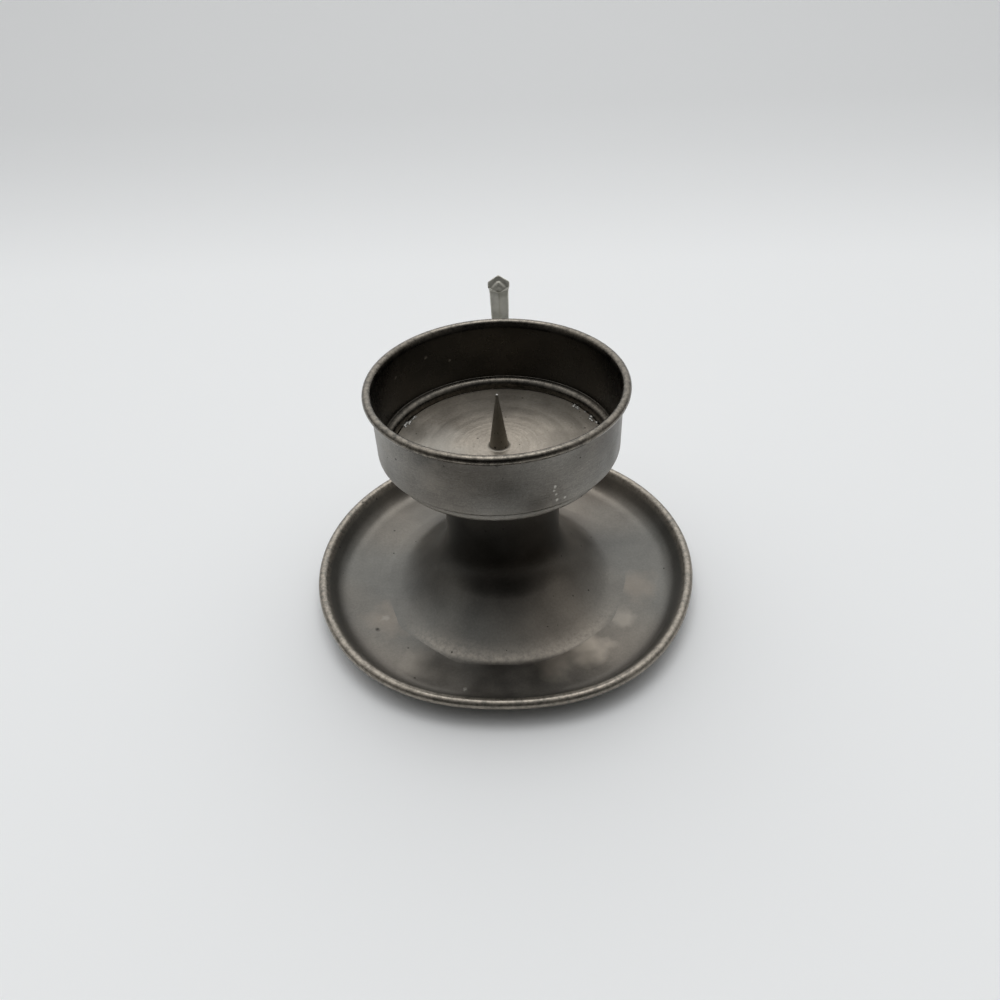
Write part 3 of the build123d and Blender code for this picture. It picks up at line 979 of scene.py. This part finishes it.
def add_bar(mesh, stations):
    """Six-sided bar, ridged on its inner and outer faces, pulled from station to station."""
    ring = bmesh.ops.create_circle(mesh, cap_ends=True, radius=1, segments=6)["verts"]
    face = ring[0].link_faces[0]
    # Where the ridges and the edges lie before each pull: at first, corners of the circle
    laid = {True: Matrix.Identity(4), False: Matrix.Diagonal((cos(radians(30)), 0.5, 1, 1))}
    middle = 0.1
    for index, station in enumerate(stations):
        if index:
            made = bmesh.ops.extrude_face_region(mesh, geom=[face])
            face = [item for item in made["geom"] if isinstance(item, bmesh.types.BMFace)][0]
            middle = 0.1 * MM
        sides = {True: [], False: []}
        for vert in face.verts:
            sides[abs(vert.co.x) < middle].append(vert)
        outward = Vector((0, station.ahead.z, -station.ahead.y))
        for on_ridge, verts in sides.items():
            reach = station.depth / 2 - (0 if on_ridge else station.ridge)
            place = Matrix.Identity(4)
            place.col[0][:3] = Vector((station.width / 2 * MM, 0, 0))
            place.col[1][:3] = outward * (reach * MM)
            place.col[2][:3] = station.ahead * MM
            place.col[3][:3] = station.spot * MM
            bmesh.ops.transform(mesh, matrix=place @ laid[on_ridge].inverted(), verts=verts)
            laid[on_ridge] = place


def cut_away(mesh, place, way):
    """Takes off all that lies on the far side of a plane and closes the cut."""
    everything = mesh.verts[:] + mesh.edges[:] + mesh.faces[:]
    spot = Vector(place) * MM
    cut = bmesh.ops.bisect_plane(mesh, geom=everything, plane_co=spot, plane_no=way, clear_outer=True)
    edges = [item for item in cut["geom_cut"] if isinstance(item, bmesh.types.BMEdge)]
    bmesh.ops.contextual_create(mesh, geom=edges)


def weld_bars(mesh):
    """Runs crossing bars together into one casting with softened edges."""
    rough = new_object(mesh, "finger_loop_rough")
    weld = rough.modifiers.new("weld", "REMESH")
    weld.mode = "VOXEL"
    weld.voxel_size = WELD_SIZE * MM
    ease = rough.modifiers.new("ease", "SMOOTH")
    ease.factor = 0.5
    ease.iterations = WELD_SMOOTHING
    seen = rough.evaluated_get(bpy.context.evaluated_depsgraph_get())
    welded = bpy.data.meshes.new_from_object(seen)
    casting = bmesh.new()
    casting.from_mesh(welded)
    rough_data = rough.data
    bpy.data.objects.remove(rough)
    bpy.data.meshes.remove(rough_data)
    bpy.data.meshes.remove(welded)
    return casting


def rub_ridges(mesh):
    """Marks the ridges of a casting as scuffed, by how far smoothing would draw them in."""
    layer = mesh.verts.layers.float.new("rub")
    eased = mesh.copy()
    for _ in range(RIDGE_SMOOTHING):
        bmesh.ops.smooth_vert(
            eased, verts=eased.verts[:], factor=0.5, use_axis_x=True, use_axis_y=True, use_axis_z=True
        )
    mesh.normal_update()
    for vert, soft in zip(mesh.verts, eased.verts):
        stood = (vert.co - soft.co).dot(vert.normal) / MM
        vert[layer] = smooth_step(*RIDGE_STANDS, stood)
    eased.free()


def make_finger_loop():
    """Grip with a curled, blunt thumb end, and the limb that ties it to the cup."""
    bars = bmesh.new()
    grip = line_stations(GRIP_LINE, GRIP_SIZES, GRIP_STATIONS)
    add_bar(bars, grip + curl_stations(grip[-1].spot, grip[-1].ahead, CURL_STATIONS))
    for side in (-THUMB_ROOF, THUMB_ROOF):
        cut_away(bars, THUMB_CUT, (side, -cos(radians(THUMB_TILT)), sin(radians(THUMB_TILT))))
    add_bar(bars, line_stations(LIMB_LINE, LIMB_SIZES, LIMB_STATIONS))
    cut_away(bars, FOOT_CUT, (0, 0, -1))
    bmesh.ops.recalc_face_normals(bars, faces=bars.faces[:])
    mesh = weld_bars(bars)
    rub_ridges(mesh)
    for vert in mesh.verts:
        vert.co += vert.normal * (CAST_GRAIN * noise.noise(vert.co * CAST_GRAIN_SCALE) * MM)
    shade_smooth(mesh)
    add_piece(mesh, "finger_loop_casting", cast_pewter, "finger_loop")


# Arcs of the plate's edge where solder or wax is left, as bearings and number of crumbs
CrumbArc = namedtuple("CrumbArc", "first last count")
CRUMB_SEED = 11
CRUMB_ARCS = (CrumbArc(148, 160, 11), CrumbArc(20, 42, 15))
CRUMB_RADII = (32.4, 33.5)
CRUMB_SIZES = (0.25, 0.6)
CRUMB_STRETCH = (1.0, 2.2)
CRUMB_FLATNESS = 0.6
CRUMB_RISE = 0.1
CRUMB_RAGGEDNESS = 0.12
CRUMB_RAGGED_SCALE = 2600


def make_crumbs():
    """Pale crumbs that lie on the edge of the plate."""
    chance = Random(CRUMB_SEED)
    noise.seed_set(CRUMB_SEED)
    mesh = bmesh.new()
    for arc in CRUMB_ARCS:
        for _ in range(arc.count):
            radius = chance.uniform(*CRUMB_RADII)
            size = chance.uniform(*CRUMB_SIZES) * MM
            turn = Matrix.Rotation(radians(chance.uniform(arc.first, arc.last)), 4, "Z")
            lay = Matrix.Translation(Vector((radius, 0, PLATE_TOP + CRUMB_RISE)) * MM)
            length = chance.uniform(*CRUMB_STRETCH) * size
            shape = Matrix.Diagonal((size, length, CRUMB_FLATNESS * size, 1))
            bmesh.ops.create_icosphere(mesh, subdivisions=2, radius=1, matrix=turn @ lay @ shape)
    for vert in mesh.verts:
        vert.co += noise.noise_vector(vert.co * CRUMB_RAGGED_SCALE) * (CRUMB_RAGGEDNESS * MM)
    shade_smooth(mesh)
    add_piece(mesh, "plate_edge_crumbs", soft_solder)


make_dish()
make_rim_wire()
make_stem()
make_cup()
make_plate()
make_spike()
make_finger_loop()
make_crumbs()

CAD_FINISHES = {
    "cup_rim_wire": drawn_wire,
    "stem_solder": soft_solder,
    "spike_washer": plain_steel,
    "spike_nut": plain_steel,
}
for node, material in CAD_FINISHES.items():
    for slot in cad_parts[node].material_slots:
        slot.material = material

# Paper that runs back from the front and rises behind in a slope
PAPER_HALF_WIDTH = 700.0
PAPER_FRONT = 142.0
PAPER_BACK = 270.0
PAPER_CURVE = 400.0
PAPER_SLOPE = 28.0
PAPER_RAMP = 420.0
PAPER_COLOUR = (0.885, 0.895, 0.895, 1)

# Room light: dim all round, bright above and behind, dark where the viewer stands
ROOM_LOW = (0.21, 0.205, 0.197, 1)
ROOM_HIGH = (0.32, 0.315, 0.305, 1)
ROOM_RISE = (0.1, 0.75)
GLOW_COLOUR = (1.45, 1.46, 1.48, 1)
GLOW_WAY = (-0.05, 0.5, 0.865)
GLOW_EDGE = (0.0, 0.9)
GLOW_POWER = 2.6
VIEWER_COLOUR = (0.02, 0.02, 0.02, 1)
VIEWER_WAY = (0, -0.85, 0.527)
VIEWER_EDGE = (0.42, 0.84)

LAMP_PLACE = (10, 200, 980)
LAMP_AIM = (0, 0, 20)
LAMP_SIZE = 600
LAMP_POWER = 1.5

CAMERA_PLACE = (8.59, -205.01, 203.33)
CAMERA_TURN = (50.512, 2.186, 0.763)
CAMERA_LENS = 28.8
CAMERA_SENSOR = 36.0
CAMERA_CLIP = 10


def make_paper():
    pen = SectionPen(-PAPER_FRONT, 0)
    pen.run(PAPER_FRONT + PAPER_BACK)
    pen.bend(PAPER_CURVE, PAPER_SLOPE)
    pen.run(PAPER_RAMP)
    mesh = pen.mesh
    bmesh.ops.rotate(mesh, verts=mesh.verts[:], cent=(0, 0, 0), matrix=Matrix.Rotation(pi / 2, 3, "Z"))
    bmesh.ops.translate(mesh, verts=mesh.verts[:], vec=(-PAPER_HALF_WIDTH * MM, 0, 0))
    made = bmesh.ops.extrude_edge_only(mesh, edges=mesh.edges[:])
    moved = [item for item in made["geom"] if isinstance(item, bmesh.types.BMVert)]
    bmesh.ops.translate(mesh, verts=moved, vec=(2 * PAPER_HALF_WIDTH * MM, 0, 0))
    bmesh.ops.recalc_face_normals(mesh, faces=mesh.faces[:])
    shade_smooth(mesh)
    paper = new_object(mesh, "paper")
    material = bpy.data.materials.new("white_paper")
    material.use_nodes = True
    shader = material.node_tree.nodes["Principled BSDF"]
    shader.inputs["Base Color"].default_value = PAPER_COLOUR
    shader.inputs["Roughness"].default_value = 0.9
    shader.inputs["Specular IOR Level"].default_value = 0.1
    paper.data.materials.append(material)


def facing(tree, way, aim):
    """How far a direction of the world points along another, from -1 to 1."""
    return add(tree, "VectorMath", way, aim, operation="DOT_PRODUCT").outputs["Value"]


def make_world():
    world = bpy.data.worlds.new("room")
    bpy.context.scene.world = world
    world.use_nodes = True
    tree = world.node_tree
    tree.nodes.clear()
    out = tree.nodes.new("ShaderNodeOutputWorld")
    background = tree.nodes.new("ShaderNodeBackground")
    way = tree.nodes.new("ShaderNodeTexCoord").outputs["Generated"]
    up = add(tree, "SeparateXYZ", way).outputs[2]
    room = blend_colours(tree, rescale(tree, up, *ROOM_RISE), ROOM_LOW, ROOM_HIGH)
    viewer = rescale(tree, facing(tree, way, VIEWER_WAY), *VIEWER_EDGE)
    room = blend_colours(tree, viewer, room, VIEWER_COLOUR)
    glow = maths(tree, "POWER", rescale(tree, facing(tree, way, GLOW_WAY), *GLOW_EDGE), GLOW_POWER)
    room = blend_colours(tree, glow, room, GLOW_COLOUR)
    tree.links.new(room, background.inputs["Color"])
    background.inputs["Strength"].default_value = 1.0
    tree.links.new(background.outputs[0], out.inputs[0])


def make_lamp():
    data = bpy.data.lights.new("ceiling_light", "AREA")
    data.shape = "DISK"
    data.size = LAMP_SIZE * MM
    data.energy = LAMP_POWER
    lamp = bpy.data.objects.new("ceiling_light", data)
    lamp.location = Vector(LAMP_PLACE) * MM
    lamp.rotation_euler = (Vector(LAMP_AIM) - Vector(LAMP_PLACE)).to_track_quat("-Z", "Y").to_euler()
    bpy.context.scene.collection.objects.link(lamp)


def make_camera():
    data = bpy.data.cameras.new("camera")
    data.sensor_width = CAMERA_SENSOR
    data.lens = CAMERA_LENS
    data.clip_start = CAMERA_CLIP * MM
    camera = bpy.data.objects.new("camera", data)
    camera.location = Vector(CAMERA_PLACE) * MM
    camera.rotation_euler = [radians(angle) for angle in CAMERA_TURN]
    bpy.context.scene.collection.objects.link(camera)
    bpy.context.scene.camera = camera


make_paper()
make_world()
make_lamp()
make_camera()

bpy.context.scene.view_settings.view_transform = "Standard"
